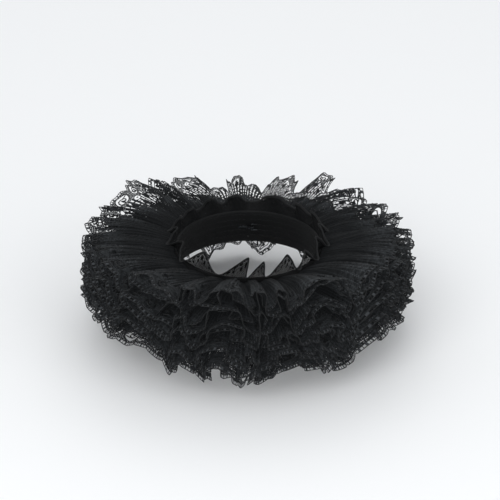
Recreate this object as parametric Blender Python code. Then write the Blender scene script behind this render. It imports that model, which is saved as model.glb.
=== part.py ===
"""A ruff collar: five tiers of gathered lace and a narrow standing frill on a neckband.

Metres, +Z up along the wearer's neck, the wearer facing -Y. The origin is the centre of the neckband.
Each lace strip is worked out in its own flat measures: a place along the strip, counted in folds from
centre back round by the wearer's right side, and a reach from the seam towards the free edge.
"""

import math

import bpy
import numpy as np

# Neckband: a ribbon worn round the neck, a little wider at the bottom
BAND_HEIGHT = 0.030
BAND_TOP_RADIUS = 0.0565
BAND_FLARE = 0.0035
BAND_THICKNESS = 0.0015
BAND_SEGMENTS = 48
BACK_OPENING = 0.0008
SEAM_GAP = 0.0003

# Lace tiers: every strip is cut alike and sewn on at its own height
LACE_THICKNESS = 0.0012
LACE_REACH = 0.0735
FOLDS_PER_TIER = 24
FOLD_STEPS = 7
SCALLOP_DEPTH = 0.002
SEAM_FOLD_HEIGHT = 0.0012
EDGE_FOLD_BULGE = 0.0020
# Half of the angle through which a strip droops between its seam and its free edge
BACK_DROOP = math.radians(19)
FRONT_DROOP = math.radians(12)
# Rows across the strip, in metres from the seam: the middle cell lies under the open gaps of the motif
ROW_REACHES = (0.0, 0.0545, 0.0668, LACE_REACH)
GAP_ROW = 1
# Steps of a fold that hold an open gap: the motif has two repeats in each fold
GAP_STEPS = (1, 4)

# Each tier: height of its seam, its mean rise in degrees at centre back, at the sides and at centre
# front, the height of a fold at the free edge, where in a fold the strip starts, and where the
# unevenness of the folds starts, in turns
TIER_COLUMNS = ("name", "seam_z", "back", "side", "front", "fold_height", "shift", "start")
TIERS = (
    ("tier_1", 0.0120, -4.1, 3.4, 17.3, 0.0086, 0.00, 0.10),
    ("tier_2", 0.0070, -16.7, -2.5, 6.9, 0.0077, 0.10, 0.11),
    ("tier_3", 0.0020, -23.6, -7.3, -2.4, 0.0073, 0.02, 0.12),
    ("tier_4", -0.0030, -29.9, -12.0, -12.1, 0.0072, 0.11, 0.13),
    ("tier_5", -0.0080, -37.0, -15.9, -21.0, 0.0071, 0.03, 0.14),
)
# Where a tier lies higher or lower than its neighbours: degrees from centre front, half width of that
# stretch in degrees, and the extra rise in degrees
LIFT_COLUMNS = ("tier", "angle", "half_width", "rise")
LIFTS = (
    ("tier_1", -137, 30, 5.5),
    ("tier_1", 112, 34, -3.5),
    ("tier_2", 112, 34, -2.0),
    ("tier_3", 112, 34, -1.0),
    ("tier_2", -60, 50, 1.0),
    ("tier_3", -60, 50, 2.2),
    ("tier_4", -60, 50, 2.8),
    ("tier_5", -60, 50, 4.0),
)
# The whole ruff is crumpled alike, so that neighbouring strips stay apart: waves in a turn, waves in a
# metre of height, phase, and sideways and upward travel of a free edge in metres
CRUMPLE_COLUMNS = ("waves", "high", "phase", "along", "up")
CRUMPLE = (
    (7, 8, 0.70, 0.0042, 0.0020),
    (12, -5, 1.93, 0.0031, 0.0021),
    (19, 6, 2.80, 0.0020, 0.0014),
    (27, -6, 2.82, 0.0010, 0.0008),
)
# The folds are spaced and sized unevenly. Each row's columns are waves in a turn, and share of a fold
FOLD_SPACING = ((3, 0.24), (5, 0.13), (8, 0.06), (13, 0.03))
FOLD_SIZES = ((7, 0.13), (11, 0.10))
BACK_FOLD_SHARE = 0.80
SIDE_FOLD_SHARE = 0.82
FOLD_LEAN = 0.30
# Half of the gap between a strip's two halves at centre front, in folds
TIER_MEETING = 0.016

# Standing frill: a narrow strip that lies against the neck at its peaks and folds outward between them
FRILL_REACH = 0.0165
FRILL_THICKNESS = 0.0010
FRILL_ROWS = (0.0, 0.55, 1.0)
FRILL_STEPS = 5
FRILL_FOLD_OUT = 0.0085
FRILL_DIP = 0.62
FRILL_LEAN = 0.0045
FRILL_MEETING = 0.018
# Each fold: degrees round the neck from centre front of its peak and of the valley after it, and the
# peak's height as a share of the reach
FRILL_FOLD_COLUMNS = ("peak", "valley", "height")
FRILL_FOLDS = (
    (-172, -160, 0.92), (-152, -140, 1.00), (-132, -120, 0.88), (-112, -101, 0.96),
    (-93, -82, 0.90), (-71, -54, 0.80), (-42, -21, 0.95), (-4, -1, 1.00),
    (8, 12, 0.74), (28, 38, 0.88), (47, 57, 0.70), (67, 79, 0.90),
    (89, 101, 0.92), (111, 123, 1.00), (132, 144, 0.92), (152, 180, 0.98),
)

# Hook and eye at centre back, inside the band
WIRE_RADIUS = 0.0005
EYE_HALF_HEIGHT = 0.0028
HOOK_HALF_WIDTH = 0.0013
HOOK_THICKNESS = 0.0006
# Bends of each, as (distance past the opening, distance in from the band), in metres
EYE_BENDS = ((0.0075, 0.0009), (0.0040, 0.0011), (0.0030, 0.0016))
HOOK_BENDS = (
    (-0.0080, 0.0007), (-0.0010, 0.0007), (0.0012, 0.0027),
    (0.0034, 0.0030), (0.0046, 0.0023), (0.0046, 0.0010),
)

LACE_BLACK = (0.012, 0.012, 0.014)
RIBBON_BLACK = (0.010, 0.010, 0.012)
DARK_METAL = (0.05, 0.05, 0.055)


def clear_scene():
    for obj in list(bpy.data.objects):
        bpy.data.objects.remove(obj)


def finish(name, colour, roughness, metallic=0.0):
    """A plain material for one kind of piece."""
    material = bpy.data.materials.new(name)
    material.use_nodes = True
    shader = material.node_tree.nodes["Principled BSDF"]
    shader.inputs["Base Color"].default_value = (*colour, 1.0)
    shader.inputs["Roughness"].default_value = roughness
    shader.inputs["Metallic"].default_value = metallic
    return material


def add_object(name, vertices, faces, material):
    mesh = bpy.data.meshes.new(name)
    mesh.from_pydata([tuple(v) for v in vertices], [], faces)
    mesh.materials.append(material)
    mesh.shade_smooth()
    mesh.set_sharp_from_angle(angle=math.radians(50))
    obj = bpy.data.objects.new(name, mesh)
    bpy.context.scene.collection.objects.link(obj)
    return obj


def band_radius(z):
    """Inner radius of the neckband at a height."""
    return BAND_TOP_RADIUS + BAND_FLARE * (0.5 - z / BAND_HEIGHT)


def place(angle, radius, z):
    """A point by its angle from centre front, positive towards the wearer's left, radius and height."""
    return np.stack([radius * np.sin(angle), -radius * np.cos(angle), z], axis=-1)


def tier_angle(folds):
    """Angle round the neck of a place along a strip; the folds are spaced a little unevenly."""
    turn = folds / FOLDS_PER_TIER
    drift = sum(share * np.sin(2 * np.pi * waves * turn) for waves, share in FOLD_SPACING)
    opening = BACK_OPENING / (4 * np.pi * BAND_TOP_RADIUS)
    return 2 * np.pi * (opening + (1 - 2 * opening) * (turn + drift / FOLDS_PER_TIER)) - np.pi


def tier_rise(tier, angle):
    """Mean slope of a tier from its seam to its free edge."""
    ahead = np.cos(angle)
    level = (tier["front"] + tier["back"]) / 2 - tier["side"]
    rise = tier["side"] + (tier["front"] - tier["back"]) / 2 * ahead + level * ahead**2
    for lift in (dict(zip(LIFT_COLUMNS, row)) for row in LIFTS):
        if lift["tier"] == tier["name"]:
            away = (np.degrees(angle) - lift["angle"]) / lift["half_width"]
            rise = rise + lift["rise"] * np.cos(np.clip(away, -1, 1) * np.pi / 2) ** 2
    return np.radians(rise)


def crumpled(angle, radius, z, share):
    """A place moved by the crumple of the ruff, which grows towards the free edges."""
    sideways = upward = 0.0
    for wave in (dict(zip(CRUMPLE_COLUMNS, row)) for row in CRUMPLE):
        turn = wave["waves"] * angle + 2 * np.pi * wave["high"] * z + wave["phase"]
        sideways = sideways + wave["along"] * np.sin(turn)
        upward = upward + wave["up"] * np.sin(turn + 1.3)
    grow = share**1.6
    return place(angle + sideways * grow / radius, radius, z + upward * grow)


def tier_surface(tier, folds, reach):
    """The middle of a lace tier, at a place along the strip counted in folds and a reach from the seam."""
    share = np.maximum(reach, 0) / LACE_REACH
    angle = tier_angle(folds)
    droop = BACK_DROOP + (FRONT_DROOP - BACK_DROOP) * ((1 + np.cos(angle)) / 2) ** 2
    start = tier_rise(tier, angle) + droop
    slope = start - 2 * droop * share
    out = LACE_REACH * (np.sin(start) - np.sin(slope)) / (2 * droop)
    up = LACE_REACH * (np.cos(slope) - np.cos(start)) / (2 * droop)
    turn = folds / FOLDS_PER_TIER + tier["start"]
    size = 1 + sum(share_of * np.sin(2 * np.pi * waves * turn) for waves, share_of in FOLD_SIZES)
    size = size * (BACK_FOLD_SHARE + (1 - BACK_FOLD_SHARE) * (1 + np.cos(angle)) / 2)
    size = size * (1 - (1 - SIDE_FOLD_SHARE) * np.sin(angle) ** 2)
    height = SEAM_FOLD_HEIGHT + (tier["fold_height"] * size - SEAM_FOLD_HEIGHT) * share**1.2
    phase = 2 * np.pi * (folds + tier["shift"])
    wave = height * np.sin(phase)
    seam_radius = band_radius(tier["seam_z"]) + BAND_THICKNESS + SEAM_GAP + 0.0005
    radius = seam_radius + out - wave * np.sin(slope) * np.minimum(share * 4, 1)
    z = tier["seam_z"] + up + wave * np.cos(slope)
    sideways = EDGE_FOLD_BULGE * share**1.5 * np.sin(2 * phase)
    sideways = sideways - FOLD_LEAN * wave * share * np.sin(2 * angle)
    return crumpled(angle - sideways / radius, radius, z, share)


def frill_surface(folds, share):
    """The middle of the standing frill, at a place counted in folds and a share of its reach."""
    share = np.maximum(share, 0)
    rows = [dict(zip(FRILL_FOLD_COLUMNS, row)) for row in FRILL_FOLDS]
    heights = np.array([row["height"] for row in rows])
    count = len(rows)
    end = np.pi - BACK_OPENING / (2 * BAND_TOP_RADIUS)
    angles = np.radians([row[key] for row in rows for key in ("peak", "valley")])
    angles = np.clip(np.concatenate([[-end], angles]), -end, end)
    angle = np.interp(folds, np.arange(2 * count + 1) / 2, angles)
    at = np.concatenate([[0], np.arange(count) + 0.5, [count]])
    tall = np.interp(folds, at, np.concatenate([[heights[0]], heights, [heights[-1]]]))
    dip = (1 + np.cos(2 * np.pi * folds)) / 2
    z = BAND_HEIGHT / 2 + SEAM_GAP + share * FRILL_REACH * tall * (1 - FRILL_DIP * dip)
    neck = BAND_TOP_RADIUS + 0.0012 - 0.0012 * share
    radius = neck + FRILL_FOLD_OUT * dip * share**1.3
    lean = FRILL_LEAN * share * (1 - dip) * np.clip((np.pi - np.abs(angle)) * 4, 0, 1)
    return place(angle + lean / radius, radius, z)


def wall_normals(surface, folds, reaches):
    """Unit normals of a surface given as a function of two arrays, from small steps either way."""
    along, across = 2e-3, 1e-2 * np.ptp(reaches)
    du = surface(folds + along, reaches) - surface(folds - along, reaches)
    dv = surface(folds, reaches + across) - surface(folds, reaches - across)
    normal = np.cross(du, dv)
    return normal / np.linalg.norm(normal, axis=-1, keepdims=True)


def cloth_wall(surface, folds, reaches, thickness, drawn_back=0.0, gaps=()):
    """Vertices and faces of a wall round a surface, on a grid, with one open gap for each cell in gaps.

    Columns are drawn back along the strip, but keep the slant of the place that they are drawn back from,
    so that two walls that meet end to end stay apart.
    """
    columns, rows = folds.shape
    middle = surface(folds + drawn_back, reaches)
    offset = wall_normals(surface, folds, reaches) * thickness / 2
    vertices = np.concatenate([(middle + offset).reshape(-1, 3), (middle - offset).reshape(-1, 3)])
    below = columns * rows

    def corner(i, j):
        return i * rows + j

    faces = []

    def side(a, b):
        faces.append((a, b, b + below, a + below))

    for i in range(columns - 1):
        for j in range(rows - 1):
            ring = [corner(i, j), corner(i + 1, j), corner(i + 1, j + 1), corner(i, j + 1)]
            if (i, j) in gaps:
                for a, b in zip(ring, ring[1:] + ring[:1]):
                    side(a, b)
            else:
                faces.append(tuple(ring))
                faces.append(tuple(v + below for v in reversed(ring)))
    for i in range(columns - 1):
        side(corner(i + 1, 0), corner(i, 0))
        side(corner(i, rows - 1), corner(i + 1, rows - 1))
    for j in range(rows - 1):
        side(corner(0, j), corner(0, j + 1))
        side(corner(columns - 1, j + 1), corner(columns - 1, j))
    return vertices, faces


def halves(fold_count, steps):
    """The two halves of a strip, as (name, step numbers), meeting at centre front."""
    middle = fold_count * steps // 2
    return ("right", np.arange(0, middle + 1)), ("left", np.arange(middle, fold_count * steps + 1))


def ends_apart(steps, share):
    """How far each step is drawn back, in folds: only the step at centre front."""
    front = steps.max() if steps.min() == 0 else steps.min()
    return (steps == front) * share * (-1 if steps.min() == 0 else 1)


def build_tier(tier, material):
    for side_name, steps in halves(FOLDS_PER_TIER, FOLD_STEPS):
        folds, reaches = np.meshgrid(steps / FOLD_STEPS, ROW_REACHES, indexing="ij")
        reaches[:, -1] -= SCALLOP_DEPTH * (steps % 2 == 0)
        gaps = {
            (i, GAP_ROW)
            for i in range(3, len(steps) - 2)
            if steps[i] % FOLD_STEPS in GAP_STEPS
        }
        vertices, faces = cloth_wall(
            lambda f, r: tier_surface(tier, f, r),
            folds,
            reaches,
            LACE_THICKNESS,
            ends_apart(steps, TIER_MEETING)[:, None],
            gaps,
        )
        add_object(f"{tier['name']}_{side_name}", vertices, faces, material)


def build_frill(material):
    count = len(FRILL_FOLDS)
    for side_name, steps in halves(count, FRILL_STEPS):
        folds, shares = np.meshgrid(steps / FRILL_STEPS, FRILL_ROWS, indexing="ij")
        vertices, faces = cloth_wall(
            frill_surface, folds, shares, FRILL_THICKNESS, ends_apart(steps, FRILL_MEETING)[:, None]
        )
        add_object(f"standing_frill_{side_name}", vertices, faces, material)


def build_band(material):
    """The neckband, a flared ring open at centre back."""
    opening = BACK_OPENING / (2 * BAND_TOP_RADIUS)
    angles = np.linspace(-np.pi + opening, np.pi - opening, BAND_SEGMENTS + 1)
    heights = np.array([-BAND_HEIGHT / 2, BAND_HEIGHT / 2])
    angle, height = np.meshgrid(angles, heights, indexing="ij")

    def middle(a, z):
        return place(a, band_radius(z) + BAND_THICKNESS / 2, z)

    vertices, faces = cloth_wall(middle, angle, height, BAND_THICKNESS)
    add_object("neckband", vertices, faces, material)


def behind(past_opening, inward, z):
    """A point inside the band at centre back."""
    radius = band_radius(z) - inward
    return place(np.pi - past_opening / radius, radius, z)


def build_eye(material):
    """A bent wire sewn to one end of the band, with a straight bar for the hook."""
    lower = [behind(past, inward, -EYE_HALF_HEIGHT) for past, inward in EYE_BENDS]
    upper = [behind(past, inward, EYE_HALF_HEIGHT) for past, inward in reversed(EYE_BENDS)]
    path = lower + upper
    curve = bpy.data.curves.new("eye", "CURVE")
    curve.dimensions = "3D"
    curve.bevel_depth = WIRE_RADIUS
    curve.bevel_resolution = 1
    curve.use_fill_caps = True
    spline = curve.splines.new("POLY")
    spline.points.add(len(path) - 1)
    for point, co in zip(spline.points, path):
        point.co = (*co, 1.0)
    curve.materials.append(material)
    obj = bpy.data.objects.new("eye", curve)
    bpy.context.scene.collection.objects.link(obj)


def build_hook(material):
    """A flat strip sewn to the other end, bent round the eye's bar."""
    bends = np.array(HOOK_BENDS)
    ahead = np.gradient(bends, axis=0)
    ahead /= np.linalg.norm(ahead, axis=1, keepdims=True)
    across = np.stack([-ahead[:, 1], ahead[:, 0]], axis=1) * HOOK_THICKNESS / 2
    outer, inner = bends + across, bends - across
    vertices = []
    for z in (-HOOK_HALF_WIDTH, HOOK_HALF_WIDTH):
        for line in (outer, inner):
            vertices += [behind(past, inward, z) for past, inward in line]
    n = len(bends)
    faces = []
    for i in range(n - 1):
        outer_low, inner_low, outer_high, inner_high = i, n + i, 2 * n + i, 3 * n + i
        faces.append((outer_low, outer_low + 1, outer_high + 1, outer_high))
        faces.append((inner_low, inner_high, inner_high + 1, inner_low + 1))
        faces.append((outer_low, inner_low, inner_low + 1, outer_low + 1))
        faces.append((outer_high, outer_high + 1, inner_high + 1, inner_high))
    faces.append((0, 2 * n, 3 * n, n))
    faces.append((n - 1, 2 * n - 1, 4 * n - 1, 3 * n - 1))
    add_object("hook", vertices, faces, material)


def main():
    clear_scene()
    lace = finish("black_lace", LACE_BLACK, 0.75)
    ribbon = finish("black_ribbon", RIBBON_BLACK, 0.5)
    metal = finish("dark_metal", DARK_METAL, 0.35, 1.0)
    build_band(ribbon)
    for row in TIERS:
        build_tier(dict(zip(TIER_COLUMNS, row)), lace)
    build_frill(lace)
    build_hook(metal)
    build_eye(metal)


main()
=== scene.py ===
"""A black lace ruff collar: its lace, net, ribbon, cords and thread, each on the solid that it belongs to."""

import math

import bpy
import numpy as np
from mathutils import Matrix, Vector


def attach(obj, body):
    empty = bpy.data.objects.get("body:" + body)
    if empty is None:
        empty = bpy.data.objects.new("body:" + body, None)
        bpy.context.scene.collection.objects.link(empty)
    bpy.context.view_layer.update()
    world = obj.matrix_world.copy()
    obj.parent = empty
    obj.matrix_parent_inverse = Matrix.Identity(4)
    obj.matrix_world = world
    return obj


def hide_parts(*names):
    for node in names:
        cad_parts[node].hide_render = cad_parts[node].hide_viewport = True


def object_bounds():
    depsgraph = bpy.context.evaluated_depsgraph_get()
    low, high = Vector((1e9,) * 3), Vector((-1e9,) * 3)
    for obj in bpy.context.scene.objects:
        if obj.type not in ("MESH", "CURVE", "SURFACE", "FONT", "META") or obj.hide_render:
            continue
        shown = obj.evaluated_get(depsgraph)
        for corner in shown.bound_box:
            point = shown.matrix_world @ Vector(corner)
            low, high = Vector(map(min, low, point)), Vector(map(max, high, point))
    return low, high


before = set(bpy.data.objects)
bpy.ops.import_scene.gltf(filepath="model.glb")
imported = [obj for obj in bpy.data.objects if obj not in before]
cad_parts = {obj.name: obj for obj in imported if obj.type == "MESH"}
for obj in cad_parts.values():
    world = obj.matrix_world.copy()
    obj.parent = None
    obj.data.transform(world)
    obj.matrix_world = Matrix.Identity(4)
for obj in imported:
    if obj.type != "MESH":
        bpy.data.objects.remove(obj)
solid_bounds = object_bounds()

# Neckband
BAND_HEIGHT = 0.030
BAND_TOP_RADIUS = 0.0565
BAND_FLARE = 0.0035
BAND_THICKNESS = 0.0015
BACK_OPENING = 0.00005
SEAM_GAP = 0.0003

# Lace strips
LACE_REACH = 0.0735
FOLDS_PER_TIER = 24
SEAM_FOLD_HEIGHT = 0.0012
EDGE_FOLD_BULGE = 0.0030
BACK_DROOP = math.radians(19)
FRONT_DROOP = math.radians(12)
TIER_COLUMNS = ("name", "seam_z", "back", "side", "front", "fold_height", "shift", "start")
TIERS = (
    ("tier_1", 0.0120, -4.1, 3.4, 17.3, 0.0091, 0.00, 0.10),
    ("tier_2", 0.0070, -16.7, -2.5, 6.9, 0.0082, 0.10, 0.11),
    ("tier_3", 0.0020, -23.6, -7.3, -2.4, 0.0077, 0.02, 0.12),
    ("tier_4", -0.0030, -29.9, -12.0, -12.1, 0.0076, 0.11, 0.13),
    ("tier_5", -0.0080, -37.0, -15.9, -21.0, 0.0075, 0.03, 0.14),
)
LIFT_COLUMNS = ("tier", "angle", "half_width", "rise")
LIFTS = (
    ("tier_1", -137, 30, 5.5),
    ("tier_1", -130, 17, 5.0),
    ("tier_1", -104, 14, -2.5),
    ("tier_2", -104, 14, -1.5),
    ("tier_1", 112, 34, -3.5),
    ("tier_2", 112, 34, -2.0),
    ("tier_3", 112, 34, -1.0),
    ("tier_2", -60, 50, 1.0),
    ("tier_3", -60, 50, 2.2),
    ("tier_4", -60, 50, 2.8),
    ("tier_5", -60, 50, 4.0),
)
FOLD_SPACING = ((3, 0.24), (5, 0.13), (8, 0.06), (13, 0.03))
FOLD_SIZES = ((7, 0.13), (11, 0.10))
BACK_FOLD_SHARE = 0.80
SIDE_FOLD_SHARE = 0.82
FOLD_LEAN = 0.30
CHANCE_FOLD_SIZE = 0.34
CHANCE_LEAN = 0.45
CHANCE_SHIFT = 0.16
# Fine gathers at the seam, flutter of the free edge as waves in a fold, height and power, and its bend
GATHERS_PER_FOLD, GATHER_HEIGHT = 5, 0.0007
FLUTTERS = ((3, 9, "flutter", 0.0026, 2.2), (7, 12, "size", 0.0010, 1.6))
FRONT_CALM = 0.45
EDGE_BEND = 0.0032
# How the two plies of a tier differ: along the strip in folds, stray in a turn, and share of the fold height
UPPER_STRAY = 0.04
UNDER_SHIFT, UNDER_STRAY, UNDER_FOLD_SHARE = 0.12, 0.05, 0.9

# The lace pattern: one repeat of the strip, in millimetres, measured from the free edge inwards
REPEATS_PER_FOLD = 2
REPEAT_WIDTH = 23.0
REACH_MM = LACE_REACH * 1000
SCALLOP_MM = 2.6
BRAID_MM = 2.9
BRAID_BARS = 10
RIBS = 9
SLOT_MM = 6.0
NET_MM = 1.55
BEAD_MM = 2.4
RIM_MM = 0.7
# Places as across, in from the edge, half width and half height
WINDOW_X, WINDOW_S, WINDOW_WIDE, WINDOW_TALL = 5.5, 9.6, 3.6, 4.9
ROUNDS = ((0.0, 19.4, 2.2, 2.6), (REPEAT_WIDTH / 2, 20.4, 1.7, 2.1))
KNOB = (0.0, 19.4, 0.8, 0.8)
LEAVES = ((5.6, 24.5, 1.6, 4.6), (0.0, 29.5, 1.7, 4.4), (REPEAT_WIDTH / 2, 33.0, 1.5, 4.8))
TWIGS = ((WINDOW_X + 0.3, WINDOW_S + 2.4, 0.65, 2.8), (WINDOW_X - 2.0, WINDOW_S - 1.6, 1.7, 0.6))
# How dark the ground of the lace is, how light the painted highlight on its raised thread is, and the painted
# glow: a faint even emission that lifts the black of the lace
LACE_DARK, LACE_LIGHT, LACE_PAINTED_GLOW = 0.0022, 0.0490, 0.0054
# The grid of each ply: columns in one repeat of the pattern, and rows from the seam to the free edge
COLUMNS_PER_REPEAT = 20
ROWS = 27
# Half width and half height of each cord, in metres
BRAID_THREAD = (0.00032, 0.00028)
RUNG_THREAD = (0.00028, 0.00022)
SCROLL_HEIGHT = 0.00032
FRILL_CORD = (0.00055, 0.00045)
STITCH_THREAD = (0.00028, 0.00028)

# Ribbon faces and their stitches
RIBBON_EDGE_TURN = 0.0005
RIBBON_STEPS_PER_REPEAT = 8
STITCH_SPACING = 0.0032
STITCH_SHARE = 0.72

# Standing frill
FRILL_REACH = 0.0165
FRILL_FOLD_OUT = 0.0085
FRILL_DIP = 0.72
FRILL_LEAN = 0.0045
FRILL_FOLD_COLUMNS = ("peak", "valley", "height")
FRILL_FOLDS = (
    (-172, -160, 0.92), (-152, -140, 1.00), (-132, -120, 0.88), (-112, -101, 0.96),
    (-93, -82, 0.90), (-71, -54, 0.80), (-42, -21, 0.95), (-4, -1, 1.00),
    (8, 12, 0.74), (28, 38, 0.88), (47, 57, 0.70), (67, 79, 0.90),
    (89, 101, 0.92), (111, 123, 1.00), (132, 144, 0.92), (152, 180, 0.98),
)
FRILL_REPEATS_PER_FOLD = 3
FRILL_COLUMNS = 12
FRILL_ROWS = 14
FRILL_NET_MM = 1.5
# Sprigs and leaves as across from the middle, in from the edge, half width and half height, in millimetres
FRILL_LEAVES = ((0.0, 5.6, 1.5, 2.6), (3.4, 8.6, 1.1, 2.2), (4.2, 3.4, 1.3, 1.3))

# Studio and camera
FLOOR_BELOW = 0.004
FLOOR_HALF = 6.0
FLOOR_COLOUR = (0.92, 0.925, 0.93, 1)
SKY_COLOUR, SKY_STRENGTH = (0.96, 0.98, 1.0, 1), 0.70
LIGHT_COLUMNS = ("name", "spot", "energy")
LIGHTS = (
    ("key", (-0.7, -1.7, 1.2), 20),
    ("fill", (1.3, -1.4, 0.7), 11),
    ("top", (0.1, 1.6, 1.9), 8),
)
LIGHT_SIZE = 1.6
CAMERA_ELEVATION = math.radians(28)
CAMERA_DISTANCE = 1.6
CAMERA_TARGET = (0.0016, 0, 0.0087)
CAMERA_LENS, CAMERA_SENSOR = 144, 36

random = np.random.default_rng(11)


def table(columns, rows):
    """Each row as a dictionary under the columns' names."""
    return [dict(zip(columns, row)) for row in rows]


# Shader maths

class Value:
    """A socket that can be used in a Python expression."""

    def __init__(self, kit, socket):
        self.kit, self.socket = kit, socket

    def _math(self, operation, *others):
        return self.kit.math(operation, self, *others)

    def __add__(self, other):
        return self._math("ADD", other)

    __radd__ = __add__

    def __sub__(self, other):
        return self._math("SUBTRACT", other)

    def __rsub__(self, other):
        return self.kit.math("SUBTRACT", other, self)

    def __mul__(self, other):
        return self._math("MULTIPLY", other)

    __rmul__ = __mul__

    def __truediv__(self, other):
        return self._math("DIVIDE", other)

    def __abs__(self):
        return self._math("ABSOLUTE")

    def fract(self):
        return self._math("FRACT")

    def floor(self):
        return self._math("FLOOR")

    def sqrt(self):
        return self._math("SQRT")

    def most(self, other):
        return self._math("MAXIMUM", other)

    def zigzag(self):
        """1 at whole numbers, falling to 0 half way between them."""
        return abs(self.fract() - 0.5) * 2


class Kit:
    """Builds one material's nodes."""

    def __init__(self, name):
        self.material = bpy.data.materials.new(name)
        self.material.use_nodes = True
        self.tree = self.material.node_tree
        self.shader = self.tree.nodes["Principled BSDF"]

    def node(self, kind, settings=None, **inputs):
        made = self.tree.nodes.new(kind)
        for key, value in (settings or {}).items():
            setattr(made, key, value)
        for key, value in inputs.items():
            self.feed(made.inputs[key.replace("_", " ")], value)
        return made

    def feed(self, socket, value):
        if isinstance(value, Value):
            value = value.socket
        if isinstance(value, bpy.types.NodeSocket):
            self.tree.links.new(value, socket)
        else:
            socket.default_value = value

    def math(self, operation, *values):
        made = self.tree.nodes.new("ShaderNodeMath")
        made.operation = operation
        for socket, value in zip(made.inputs, values):
            self.feed(socket, value)
        return Value(self, made.outputs[0])

    def step(self, value, low, high):
        """0 below low, 1 above high, smooth between."""
        made = self.node("ShaderNodeMapRange", {"interpolation_type": "SMOOTHSTEP"})
        for name, number in (("Value", value), ("From Min", low), ("From Max", high)):
            self.feed(made.inputs[name], number)
        return Value(self, made.outputs[0])

    def mix(self, share, low, high):
        made = self.node("ShaderNodeMix", {"data_type": "RGBA"})
        self.feed(made.inputs[0], share)
        self.feed(made.inputs[6], low)
        self.feed(made.inputs[7], high)
        return made.outputs[2]

    def uv(self):
        made = self.node("ShaderNodeUVMap", {"uv_map": "OFBake"})
        split = self.node("ShaderNodeSeparateXYZ", Vector=made.outputs[0])
        return made.outputs[0], Value(self, split.outputs[0]), Value(self, split.outputs[1])

    def noise(self, vector, scale, detail=2.0):
        made = self.node("ShaderNodeTexNoise", Vector=vector, Scale=scale, Detail=detail)
        return Value(self, made.outputs[0])

    def noise_at(self, x, y, detail):
        return self.noise(self.node("ShaderNodeCombineXYZ", X=x, Y=y).outputs[0], 1.0, detail)

    def bump(self, height, distance, strength=1.0):
        made = self.node("ShaderNodeBump", Height=height, Distance=distance, Strength=strength)
        self.feed(self.shader.inputs["Normal"], made.outputs[0])

    def constant(self, **numbers):
        for key, value in numbers.items():
            self.shader.inputs[key.replace("_", " ")].default_value = value


def colour(level, tint=(0.94, 1.02, 1.10)):
    return (level * tint[0], level * tint[1], level * tint[2], 1.0)


def ellipse(x, s, at_x, at_s, half_x, half_s):
    """1 on an ellipse's rim, less inside it and more outside."""
    across, inward = (x - at_x) / half_x, (s - at_s) / half_s
    return (across * across + inward * inward).sqrt()


def joined(masks):
    """Where any of the masks is."""
    first, *others = masks
    for other in others:
        first = first.most(other)
    return first


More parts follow.
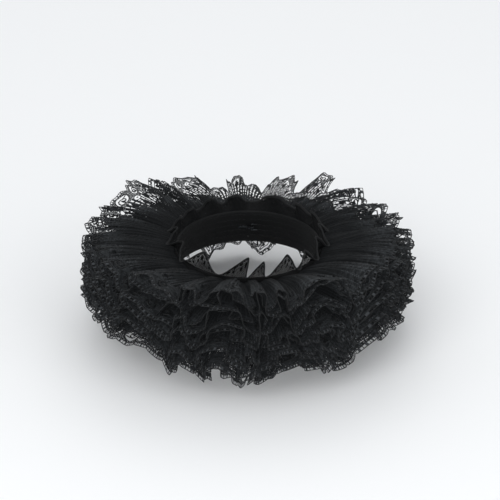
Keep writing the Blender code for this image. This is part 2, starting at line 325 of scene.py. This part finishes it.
def lace_material(name, windows):
    """One repeat of the lace: a braid ladder along the edge, two mirrored windows, then slotted ribs."""
    kit = Kit(name)
    vector, u, v = kit.uv()
    x = (u - 0.5) * REPEAT_WIDTH
    s = (1 - v) * REACH_MM
    mirror = abs(x)

    def inside(spot, soft=0.10, rim=0.0):
        at_x, at_s, half_x, half_s = spot
        return 1 - kit.step(ellipse(mirror, s, at_x, at_s, half_x + rim, half_s + rim), 1 - soft, 1.0)

    # Slots between ribs, staggered by half a slot, and closing towards the seam
    column = x / (REPEAT_WIDTH / RIBS)
    near_rib = column.zigzag()
    odd = (column.floor() / 2).fract() * 2
    near_bar = (s / SLOT_MM + odd * 0.5).zigzag()
    dense = kit.step(s, 30.0, 64.0)
    slot_half = 0.44 - dense * 0.36
    slot_tall = 0.74 - dense * 0.50
    slots = (1 - kit.step(near_rib, slot_half - 0.08, slot_half))
    slots = slots * (1 - kit.step(near_bar, slot_tall - 0.1, slot_tall))
    # Close net between and above the windows
    one, other = ((x + s) / NET_MM).zigzag(), ((x - s) / NET_MM).zigzag()
    open_to = 0.31 if windows else 0.26
    eyes = (1 - kit.step(one, open_to, open_to + 0.12)) * (1 - kit.step(other, open_to, open_to + 0.12))
    eyes = eyes * kit.step(s, BRAID_MM + 0.15, BRAID_MM + 0.3)
    # The ladder of the braid
    rung = (x / (REPEAT_WIDTH / BRAID_BARS)).zigzag()
    ladder = (1 - kit.step(rung, 0.62, 0.72)) * kit.step(s, 0.35, 0.55)
    ladder = ladder * (1 - kit.step(s, BRAID_MM - 0.55, BRAID_MM - 0.35))
    # Specks of light between threads, by chance
    chance = kit.noise_at(x * 0.42, s * 0.34, 2.5)
    specks = kit.step(chance, 0.57, 0.63) * (1 - kit.step(near_rib, 0.56, 0.68))
    specks = specks * kit.step(s, BRAID_MM + 0.4, BRAID_MM + 0.8) * (1 - kit.step(s, 44.0, 58.0))
    window = (WINDOW_X, WINDOW_S, WINDOW_WIDE, WINDOW_TALL)
    bound = joined([inside(spot, 0.04, RIM_MM) for spot in (window, *ROUNDS)])
    bound = joined([bound] + [inside(spot) for spot in LEAVES])
    if windows:
        below = kit.step(s, WINDOW_S + WINDOW_TALL + 2.0, WINDOW_S + WINDOW_TALL + 2.6)
        holes = joined((slots * below, eyes * (1 - below), ladder, specks))
        opening = joined([inside(window, 0.05)] + [inside(spot) for spot in ROUNDS])
        opening = opening * (1 - inside(KNOB, 0.2)) * (1 - joined([inside(spot) for spot in TWIGS]))
        cloth = (1 - holes).most(bound) * (1 - opening)
    else:
        below = kit.step(s, BRAID_MM + 1.0, BRAID_MM + 1.4)
        cloth = (1 - joined((eyes, ladder, specks))).most(bound)
    # Painted highlight: raised threads, beads and braid rungs are coloured lighter than the ground, as if
    # they catch more light
    fine = kit.noise(vector, 90.0)
    in_braid = 1 - kit.step(s, BRAID_MM, BRAID_MM + 0.4)
    bead = kit.step((s / BEAD_MM + odd * 0.5).zigzag(), 0.40, 0.80)
    dots = kit.step(near_rib, 0.55, 0.90) * bead * below
    crossing = kit.step(one, 0.70, 0.95) * kit.step(other, 0.60, 0.95)
    raised = joined((dots, crossing * (1 - below), in_braid * kit.step(rung, 0.55, 0.80)))
    # Painted shade: the lace is coloured darker towards the seam, where the gathers lie in shade; the ground
    # darkens more than the thread highlight
    inward = kit.step(s, 8.0, 38.0)
    patches = kit.step(kit.noise_at(x * 0.22, s * 0.46, 3.0), 0.40, 0.62)
    ground = (1 - 0.93 * inward) * (0.55 + chance * 0.9) * (0.10 + 0.42 * patches)
    threads = (1 - 0.62 * inward) * (0.45 + chance * 1.1) * (0.45 + fine * 1.2)
    # Base colour: the ground's random tone plus the painted highlight on the raised threads, both under the
    # painted shade towards the seam
    tone = kit.mix(ground + raised * threads, colour(LACE_DARK), colour(LACE_LIGHT))
    kit.feed(kit.shader.inputs["Alpha"], cloth)
    kit.feed(kit.shader.inputs["Base Color"], tone)
    kit.feed(kit.shader.inputs["Roughness"], 0.60 + fine * 0.25)
    kit.bump(near_rib * 0.3 + near_bar * 0.3 + chance * 0.8, 0.0005, 0.7)
    # Painted glow: a faint even emission lifts the black of the whole lace
    kit.constant(Specular_IOR_Level=0.07, Emission_Color=colour(LACE_PAINTED_GLOW), Emission_Strength=1.0)
    return kit.material


def frill_material():
    """A sheer net with small sprigs, closing towards the seam."""
    kit = Kit("black_frill_net")
    vector, u, v = kit.uv()
    x, s = u * 12.0, (1 - v) * FRILL_REACH * 1000
    one, other = ((x + s) / FRILL_NET_MM).zigzag(), ((x - s) / FRILL_NET_MM).zigzag()
    net = kit.step(one, 0.32, 0.46).most(kit.step(other, 0.32, 0.46))
    middle = abs(x - 6.0)
    leaves = joined([1 - kit.step(ellipse(middle, s, *spot), 0.9, 1.05) for spot in FRILL_LEAVES])
    tight = kit.step(one, 0.30, 0.45).most(kit.step(other, 0.30, 0.45)) * kit.step(s, 6.0, 12.0)
    cloth = joined((net, leaves, tight))
    fine = kit.noise(vector, 70.0)
    kit.feed(kit.shader.inputs["Alpha"], cloth)
    kit.feed(kit.shader.inputs["Base Color"], kit.mix(fine, colour(0.0018), colour(0.006)))
    kit.feed(kit.shader.inputs["Roughness"], 0.6 + fine * 0.25)
    kit.bump(cloth + fine * 0.3, 0.0003, 0.6)
    kit.constant(Specular_IOR_Level=0.12)
    return kit.material


def thread_material(name, low, high, roughness):
    kit = Kit(name)
    place = kit.node("ShaderNodeTexCoord").outputs["Object"]
    fine = kit.noise(place, 1800.0, 3.0)
    kit.feed(kit.shader.inputs["Base Color"], kit.mix(fine, colour(low), colour(high)))
    kit.feed(kit.shader.inputs["Roughness"], roughness + fine * 0.2)
    kit.bump(fine, 0.0002, 0.6)
    kit.constant(Specular_IOR_Level=0.30)
    return kit.material


def ribbon_material():
    """Grosgrain: fine upright ribs and a smooth woven edge."""
    kit = Kit("black_grosgrain")
    vector, u, v = kit.uv()
    ribs = (u * 28).zigzag()
    edge = kit.step(abs(v - 0.5), 0.445, 0.46)
    picks = (v * 60).zigzag()
    height = ribs * (1 - edge) + picks * edge * 0.6
    fine = kit.noise(vector, 60.0)
    tone = kit.mix(height * 0.6 + fine * 0.4, colour(0.002), colour(0.010))
    kit.feed(kit.shader.inputs["Base Color"], tone)
    kit.feed(kit.shader.inputs["Roughness"], 0.50 + fine * 0.2)
    kit.bump(height, 0.0005, 0.8)
    kit.constant(Specular_IOR_Level=0.25)
    return kit.material


def metal_material():
    kit = Kit("dark_lacquered_wire")
    place = kit.node("ShaderNodeTexCoord").outputs["Object"]
    worn = kit.noise(place, 700.0, 4.0)
    kit.feed(kit.shader.inputs["Base Color"], kit.mix(kit.step(worn, 0.5, 0.7), colour(0.03), colour(0.16)))
    kit.feed(kit.shader.inputs["Roughness"], 0.28 + worn * 0.25)
    kit.bump(worn, 0.00005, 0.5)
    kit.constant(Metallic=1.0)
    return kit.material


# Meshes

def add_mesh(name, points, quads, material, uv=None):
    points = np.ascontiguousarray(points, dtype=np.float32).reshape(-1, 3)
    quads = np.ascontiguousarray(quads, dtype=np.int32).reshape(-1, 4)
    mesh = bpy.data.meshes.new(name)
    mesh.vertices.add(len(points))
    mesh.vertices.foreach_set("co", points.ravel())
    mesh.loops.add(quads.size)
    mesh.loops.foreach_set("vertex_index", quads.ravel())
    mesh.polygons.add(len(quads))
    mesh.polygons.foreach_set("loop_start", np.arange(0, quads.size, 4, dtype=np.int32))
    mesh.update(calc_edges=True)
    if uv is not None:
        layer = mesh.uv_layers.new(name="OFBake")
        layer.uv.foreach_set("vector", np.ascontiguousarray(uv, dtype=np.float32).ravel())
    mesh.validate()
    mesh.shade_smooth()
    mesh.materials.append(material)
    obj = bpy.data.objects.new(name, mesh)
    bpy.context.scene.collection.objects.link(obj)
    return obj


def grid_quads(columns, rows):
    i, j = np.meshgrid(np.arange(columns - 1), np.arange(rows - 1), indexing="ij")
    a = i * rows + j
    return np.stack([a, a + rows, a + rows + 1, a + 1], axis=-1).reshape(-1, 4)


def tiled_uv(columns, rows, per_repeat):
    """Corner positions in one repeat of the pattern: across it, and from the seam to the free edge."""
    i, j = np.meshgrid(np.arange(columns - 1), np.arange(rows - 1), indexing="ij")
    left, low = (i % per_repeat) / per_repeat, j / (rows - 1)
    right, high = left + 1 / per_repeat, low + 1 / (rows - 1)
    corners = [(left, low), (right, low), (right, high), (left, high)]
    return np.stack([np.stack(c, axis=-1) for c in corners], axis=-2).reshape(-1, 2)


def unit(vectors):
    return vectors / np.maximum(np.linalg.norm(vectors, axis=-1, keepdims=True), 1e-12)


def tubes(name, surface, paths, widths, heights, material):
    """Flattened cords laid on a surface. paths holds, for each cord, its points as (folds, reach)."""
    folds, reach = paths[..., 0], paths[..., 1]
    middle = surface(folds, reach)
    along = surface(folds + 0.004, reach) - surface(folds - 0.004, reach)
    across = surface(folds, reach + 0.0002) - surface(folds, reach - 0.0002)
    normal = unit(np.cross(along, across))
    ahead = unit(np.gradient(middle, axis=1))
    side = unit(np.cross(normal, ahead))
    widths = np.broadcast_to(widths, folds.shape)[..., None]
    heights = np.broadcast_to(heights, folds.shape)[..., None]
    ring = [side * widths, normal * heights, -side * widths, -normal * heights]
    points = np.stack([middle + r for r in ring], axis=2)
    count, steps = folds.shape
    c, i, k = np.meshgrid(np.arange(count), np.arange(steps - 1), np.arange(4), indexing="ij")
    base = (c * steps + i) * 4
    turn = (k + 1) % 4
    quads = np.stack([base + k, base + turn, base + 4 + turn, base + 4 + k], axis=-1).reshape(-1, 4)
    start = np.arange(count) * steps * 4
    end = start + (steps - 1) * 4
    caps = np.concatenate([
        np.stack([start + 3, start + 2, start + 1, start], axis=-1),
        np.stack([end, end + 1, end + 2, end + 3], axis=-1),
    ])
    return add_mesh(name, points, np.concatenate([quads, caps]), material)


# The gathered shapes

def band_radius(z):
    return BAND_TOP_RADIUS + BAND_FLARE * (0.5 - z / BAND_HEIGHT)


def place(angle, radius, z):
    return np.stack([radius * np.sin(angle), -radius * np.cos(angle), z + 0 * angle], axis=-1)


def wander(folds, values):
    """A smooth line through one value for each fold."""
    at = np.clip(folds, 0, len(values) - 1.001)
    low = np.floor(at).astype(int)
    part = at - low
    part = part * part * (3 - 2 * part)
    return values[low] * (1 - part) + values[low + 1] * part


def tier_angle(folds):
    turn = folds / FOLDS_PER_TIER
    drift = sum(share * np.sin(2 * np.pi * waves * turn) for waves, share in FOLD_SPACING)
    opening = BACK_OPENING / (4 * np.pi * BAND_TOP_RADIUS)
    return 2 * np.pi * (opening + (1 - 2 * opening) * (turn + drift / FOLDS_PER_TIER)) - np.pi


def tier_rise(tier, angle):
    ahead = np.cos(angle)
    level = (tier["front"] + tier["back"]) / 2 - tier["side"]
    rise = tier["side"] + (tier["front"] - tier["back"]) / 2 * ahead + level * ahead**2
    for lift in table(LIFT_COLUMNS, LIFTS):
        if lift["tier"] == tier["name"]:
            away = (np.degrees(angle) - lift["angle"]) / lift["half_width"]
            rise = rise + lift["rise"] * np.cos(np.clip(away, -1, 1) * np.pi / 2) ** 2
    return np.radians(rise)


# The whole ruff is crumpled alike, so that neighbouring strips stay apart: waves in a turn, waves in a
# metre of height, phase, and sideways and upward travel of a free edge in metres
CRUMPLE = (
    (7, 8, 0.70, 0.0044, 0.0022),
    (12, -5, 1.93, 0.0034, 0.0024),
    (19, 6, 2.80, 0.0024, 0.0017),
    (27, -6, 2.82, 0.0014, 0.0011),
)


def crumpled(angle, radius, z, share):
    """Moves a point by the crumple of the ruff, which grows towards the free edges."""
    sideways = upward = 0.0
    for waves, high, phase, along, up in CRUMPLE:
        turn = waves * angle + 2 * np.pi * high * z + phase
        sideways = sideways + along * np.sin(turn)
        upward = upward + up * np.sin(turn + 1.3)
    grow = share**1.6
    return place(angle + sideways * grow / radius, radius, z + upward * grow)


def chance_of(knots):
    """The chance differences of one strip, each a value at every fold, which meet again at its two ends."""
    chance = {}
    for key in ("size", "lean", "shift", "lift", "flutter"):
        values = random.uniform(-1, 1, knots)
        chance[key] = np.concatenate([values, values[:2]])
    return chance


def tier_cloth(tier, chance):
    """The middle of a lace tier as it lies, with the fine gathers at its seam and the flutter of its edge."""

    def surface(folds, reach):
        share = np.clip(reach / LACE_REACH, 0, 1.05)
        angle = tier_angle(folds)
        droop = BACK_DROOP + (FRONT_DROOP - BACK_DROOP) * ((1 + np.cos(angle)) / 2) ** 2
        start = tier_rise(tier, angle) + droop + tier["stray"] * wander(folds, chance["lift"]) * share
        slope = start - 2 * droop * share
        out = LACE_REACH * (np.sin(start) - np.sin(slope)) / (2 * droop)
        up = LACE_REACH * (np.cos(slope) - np.cos(start)) / (2 * droop)
        turn = folds / FOLDS_PER_TIER + tier["start"]
        size = 1 + sum(part * np.sin(2 * np.pi * waves * turn) for waves, part in FOLD_SIZES)
        size = size * (BACK_FOLD_SHARE + (1 - BACK_FOLD_SHARE) * (1 + np.cos(angle)) / 2)
        size = size * (1 - (1 - SIDE_FOLD_SHARE) * np.sin(angle) ** 2)
        size = size * (1 + CHANCE_FOLD_SIZE * wander(folds, chance["size"]))
        height = SEAM_FOLD_HEIGHT + (tier["fold_height"] * size - SEAM_FOLD_HEIGHT) * share**1.2
        phase = 2 * np.pi * (folds + tier["shift"] + CHANCE_SHIFT * wander(folds, chance["shift"]) * share)
        gathers = GATHER_HEIGHT * np.sin(GATHERS_PER_FOLD * phase + 6 * wander(folds, chance["flutter"]))
        gathers = gathers * np.clip(1.15 - share, 0, 1) * np.minimum(share * 12 + 0.3, 1)
        crinkle = 1 - FRONT_CALM * ((1 + np.cos(angle)) / 2) ** 2
        wave = height * np.sin(phase) + gathers
        for waves, drift, key, high, power in FLUTTERS:
            turned = waves * phase + drift * wander(folds, chance[key])
            wave = wave + high * np.sin(turned) * share**power * crinkle
        seam_radius = band_radius(tier["seam_z"]) + BAND_THICKNESS + SEAM_GAP + 0.0005
        radius = seam_radius + out - wave * np.sin(slope) * np.minimum(share * 4, 1)
        z = tier["seam_z"] + up + wave * np.cos(slope)
        sideways = EDGE_FOLD_BULGE * share**1.5 * np.sin(2 * phase)
        lean = FOLD_LEAN * np.sin(2 * angle) + CHANCE_LEAN * wander(folds, chance["lean"])
        sideways = sideways - lean * wave * share
        bend = np.sin(5.0 * share + 3.0 * wander(folds, chance["size"]))
        sideways = sideways + EDGE_BEND * wander(folds, chance["flutter"]) * bend * share * crinkle
        return crumpled(angle - sideways / radius, radius, z, share)

    return surface


def frill_cloth(folds, reach):
    """The middle of the standing frill."""
    share = np.clip(reach / FRILL_REACH, 0, 1.05)
    rows = table(FRILL_FOLD_COLUMNS, FRILL_FOLDS)
    heights = np.array([row["height"] for row in rows])
    count = len(rows)
    end = np.pi - BACK_OPENING / (2 * BAND_TOP_RADIUS)
    angles = np.radians([row[key] for row in rows for key in ("peak", "valley")])
    angles = np.clip(np.concatenate([[-end], angles]), -end, end)
    angle = np.interp(folds, np.arange(2 * count + 1) / 2, angles)
    at = np.concatenate([[0], np.arange(count) + 0.5, [count]])
    tall = np.interp(folds, at, np.concatenate([[heights[0]], heights, [heights[-1]]]))
    dip = (1 + np.cos(2 * np.pi * folds)) / 2
    z = BAND_HEIGHT / 2 + share * FRILL_REACH * tall * (1 - FRILL_DIP * dip)
    radius = BAND_TOP_RADIUS + 0.0012 - 0.0012 * share + FRILL_FOLD_OUT * dip * share**1.3
    ripple = 0.0006 * np.sin(2 * np.pi * folds * 3 + 1) * share
    lean = FRILL_LEAN * share * (1 - dip) * np.clip((np.pi - np.abs(angle)) * 4, 0, 1)
    return place(angle + lean / radius, radius + ripple, z)


# Pattern places: x across one repeat and s in from the free edge, both in millimetres

def strip_place(repeat, x, s):
    """The place of a pattern point in folds along the strip and reach from the seam, with the scallops."""
    across = repeat + 0.5 + x / REPEAT_WIDTH
    share = 1 - s / REACH_MM
    dip = SCALLOP_MM * (1 - np.abs(np.sin(2 * np.pi * across)) ** 0.8) * np.clip(share, 0, 1.02) ** 6
    return np.stack([across / REPEATS_PER_FOLD, (share * REACH_MM - dip) / 1000], axis=-1)


def scroll_path(steps=12):
    """One scroll: a stem that rises from the foot of a window and curls inwards to a knob."""
    t = np.linspace(0, 1, steps)
    turn = np.radians(-75 + 345 * t)
    radius = 3.3 * (1 - t) ** 0.7 + 0.5
    x = WINDOW_X - 0.1 + radius * np.cos(turn) * 0.85
    s = WINDOW_S + 1.4 - radius * np.sin(turn) * 1.15
    width = 0.30 + 0.35 * np.sin(np.pi * t) + 0.75 * np.clip((t - 0.80) / 0.12, 0, 1)
    return x, s, width


def short_of(angle):
    """The share of the reach that the under ply has: nearly all in front, less at the back."""
    ahead = np.cos(angle)
    return 0.80 + 0.33 * ahead - 0.17 * ahead**2


def under_ply(surface):
    """A surface whose strip is shorter, most of all at the back."""

    def under(folds, reach):
        share = short_of(tier_angle(folds))
        return surface(folds, reach * share)

    return under


def build_tier(tier, materials):
    chance = chance_of(FOLDS_PER_TIER)
    upper = tier_cloth(dict(tier, stray=UPPER_STRAY), chance)
    under_lay = dict(
        tier, shift=tier["shift"] + UNDER_SHIFT, stray=UNDER_STRAY,
        fold_height=tier["fold_height"] * UNDER_FOLD_SHARE,
    )
    lower = under_ply(tier_cloth(under_lay, chance_of(FOLDS_PER_TIER)))
    half = FOLDS_PER_TIER // 2 * REPEATS_PER_FOLD
    for side_name, first in (("right", 0), ("left", half)):
        node = f"{tier['name']}_{side_name}"
        for ply, surface in (("upper", upper), ("under", lower)):
            name = f"{node}_{ply}"
            columns = half * COLUMNS_PER_REPEAT + 1
            across = first + np.arange(columns) / COLUMNS_PER_REPEAT
            inward = (1 - np.linspace(0, 1, ROWS + 1)) * REACH_MM
            u, s = np.meshgrid(across, inward, indexing="ij")
            spots = strip_place(0, (u - 0.5) * REPEAT_WIDTH, s)
            cloth = add_mesh(
                f"{name}_lace", surface(spots[..., 0], spots[..., 1]), grid_quads(columns, ROWS + 1),
                materials[ply], tiled_uv(columns, ROWS + 1, COLUMNS_PER_REPEAT),
            )
            cords = build_cords(name, surface, first, half, materials, ply == "upper")
            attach(cloth, "root")
            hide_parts(node)


def build_cords(name, surface, first, count, materials, full):
    """The braid along the scallops, its rungs, and on a full ply the scroll in each window."""
    repeats = first + np.arange(count)
    edge_x = np.linspace(-0.5, count - 0.5, count * 16 + 1) * REPEAT_WIDTH
    lines = np.stack([strip_place(first, edge_x, 0.0 * edge_x + s) for s in (0.0, BRAID_MM)])
    braid = tubes(f"{name}_braid", surface, lines, *BRAID_THREAD, materials["cord"])
    bar_x = (np.arange(BRAID_BARS) + 0.5) / BRAID_BARS * REPEAT_WIDTH - REPEAT_WIDTH / 2
    start = np.add.outer(repeats * 1.0, bar_x / REPEAT_WIDTH).ravel()
    bars = np.stack([strip_place(0, start * REPEAT_WIDTH, s + 0 * start) for s in (0.0, BRAID_MM)], axis=1)
    pieces = [braid, tubes(f"{name}_rungs", surface, bars, *RUNG_THREAD, materials["cord"])]
    if full:
        x, s, width = scroll_path()
        paths = np.stack([strip_place(r, x * flip, s) for r in repeats for flip in (1, -1)])
        thread = materials["thread"]
        pieces.append(tubes(f"{name}_scrolls", surface, paths, width / 1000, SCROLL_HEIGHT, thread))
    for piece in pieces:
        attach(piece, "root")
    return pieces


def build_frill(materials):
    count = len(FRILL_FOLDS)
    half = count // 2 * FRILL_REPEATS_PER_FOLD
    for side_name, first in (("right", 0), ("left", half)):
        name = f"standing_frill_{side_name}"
        columns = half * FRILL_COLUMNS + 1
        folds = (first + np.arange(columns) / FRILL_COLUMNS) / FRILL_REPEATS_PER_FOLD
        reach = np.linspace(0, FRILL_REACH, FRILL_ROWS + 1)
        f, r = np.meshgrid(folds, reach, indexing="ij")
        cloth = add_mesh(
            f"{name}_net", frill_cloth(f, r), grid_quads(columns, FRILL_ROWS + 1),
            materials["frill"], tiled_uv(columns, FRILL_ROWS + 1, FRILL_COLUMNS),
        )
        lines = np.stack([np.stack([folds, 0 * folds + FRILL_REACH * q], axis=-1) for q in (1.0, 0.93)])
        cord = tubes(f"{name}_cord", frill_cloth, lines, *FRILL_CORD, materials["thread"])
        for piece in (cloth, cord):
            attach(piece, "root")
        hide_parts(name)
        edge = np.linalg.norm(np.diff(frill_cloth(folds, 0 * folds + FRILL_REACH), axis=0), axis=1).sum()


def ribbon_side(name, out, outward, materials):
    """One face of the folded ribbon, with its edges turned a little towards the other face."""
    opening = BACK_OPENING / (2 * BAND_TOP_RADIUS)
    angles = np.linspace(-np.pi + opening, np.pi - opening, 241)
    half = BAND_HEIGHT / 2
    z = np.array([-half, -half + RIBBON_EDGE_TURN, 0, half - RIBBON_EDGE_TURN, half])
    roll = np.array([1, 0, 0, 0, 1]) * (BAND_THICKNESS / 2) * (-1 if outward else 1)
    a, o = np.meshgrid(angles, out + roll, indexing="ij")
    _, zz = np.meshgrid(angles, z, indexing="ij")
    points = place(a, band_radius(zz) + o, zz)
    i, j = np.meshgrid(np.arange(len(angles) - 1), np.arange(len(z) - 1), indexing="ij")
    left = (i % RIBBON_STEPS_PER_REPEAT) / RIBBON_STEPS_PER_REPEAT
    right = left + 1 / RIBBON_STEPS_PER_REPEAT
    low, high = (z[j] + half) / (2 * half), (z[j + 1] + half) / (2 * half)
    corners = [(left, low), (right, low), (right, high), (left, high)]
    uv = np.stack([np.stack(c, axis=-1) for c in corners], axis=-2).reshape(-1, 4, 2)
    quads = grid_quads(len(angles), len(z))
    if not outward:
        uv, quads = uv[:, ::-1], quads[:, ::-1]
    side = add_mesh(name, points, quads, materials["ribbon"], uv)
    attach(side, "root")
    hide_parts("neckband")
    return side


def build_band(materials):
    """The ribbon band, with the stitches of each gathered strip showing on its inner face."""
    step = STITCH_SPACING / BAND_TOP_RADIUS
    t = np.linspace(0, 1, 5)
    stitches = []
    for tier in table(TIER_COLUMNS, TIERS):
        starts = np.arange(-np.pi + 0.04, np.pi - 0.06, step)
        angle = starts[:, None] + t * step * STITCH_SHARE
        height = tier["seam_z"] + 0.0004 * np.sin(starts * 41)[:, None] + 0 * angle
        stitches.append(np.stack([angle, height], axis=-1))

    def inner(a, z):
        return place(a, band_radius(z) - 0.00032 * np.sin(np.pi * t), z)

    thread = tubes("neckband_stitches", inner, np.concatenate(stitches), *STITCH_THREAD, materials["cord"])
    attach(thread, "root")
    facing = ribbon_side("neckband_facing", BAND_THICKNESS, True, materials)
    lining = ribbon_side("neckband_lining", 0.0, False, materials)


def build_closure(materials):
    """The wire eye and the flat hook inside the band's ends."""
    for name in ("hook", "eye"):
        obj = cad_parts[name]
        obj.data.materials.clear()
        obj.data.materials.append(materials["metal"])


# Stage

def build_stage(floor_z):
    kit = Kit("pale_floor")
    kit.constant(Base_Color=FLOOR_COLOUR, Roughness=0.9)
    corners = [(x * FLOOR_HALF, y * FLOOR_HALF, floor_z) for x, y in ((-1, -1), (1, -1), (1, 1), (-1, 1))]
    add_mesh("floor", corners, [[0, 1, 2, 3]], kit.material)
    world = bpy.data.worlds.new("studio")
    bpy.context.scene.world = world
    world.use_nodes = True
    world.node_tree.nodes["Background"].inputs[0].default_value = SKY_COLOUR
    world.node_tree.nodes["Background"].inputs[1].default_value = SKY_STRENGTH
    for row in table(LIGHT_COLUMNS, LIGHTS):
        light = bpy.data.lights.new(row["name"], "AREA")
        light.energy, light.size = row["energy"], LIGHT_SIZE
        obj = bpy.data.objects.new(row["name"], light)
        obj.location = row["spot"]
        obj.rotation_euler = (-Vector(row["spot"])).to_track_quat("-Z", "Y").to_euler()
        bpy.context.scene.collection.objects.link(obj)


def build_camera():
    target = Vector(CAMERA_TARGET)
    away = Vector((0, -math.cos(CAMERA_ELEVATION), math.sin(CAMERA_ELEVATION)))
    data = bpy.data.cameras.new("camera")
    data.sensor_width, data.lens = CAMERA_SENSOR, CAMERA_LENS
    camera = bpy.data.objects.new("camera", data)
    camera.location = target + CAMERA_DISTANCE * away
    camera.rotation_euler = (target - camera.location).to_track_quat("-Z", "Y").to_euler()
    bpy.context.scene.collection.objects.link(camera)
    bpy.context.scene.camera = camera


def main():
    materials = {
        "upper": lace_material("black_lace_windows", True),
        "under": lace_material("black_lace_net", False),
        "frill": frill_material(),
        "cord": thread_material("black_cord", 0.005, 0.016, 0.5),
        "thread": thread_material("black_thread", 0.004, 0.012, 0.6),
        "ribbon": ribbon_material(),
        "metal": metal_material(),
    }
    for tier in table(TIER_COLUMNS, TIERS):
        build_tier(tier, materials)
    build_frill(materials)
    build_band(materials)
    build_closure(materials)
    build_stage(solid_bounds[0].z - FLOOR_BELOW)
    build_camera()
    bpy.context.scene.cycles.transparent_max_bounces = 64
    bpy.context.scene.view_settings.view_transform = "Standard"


main()
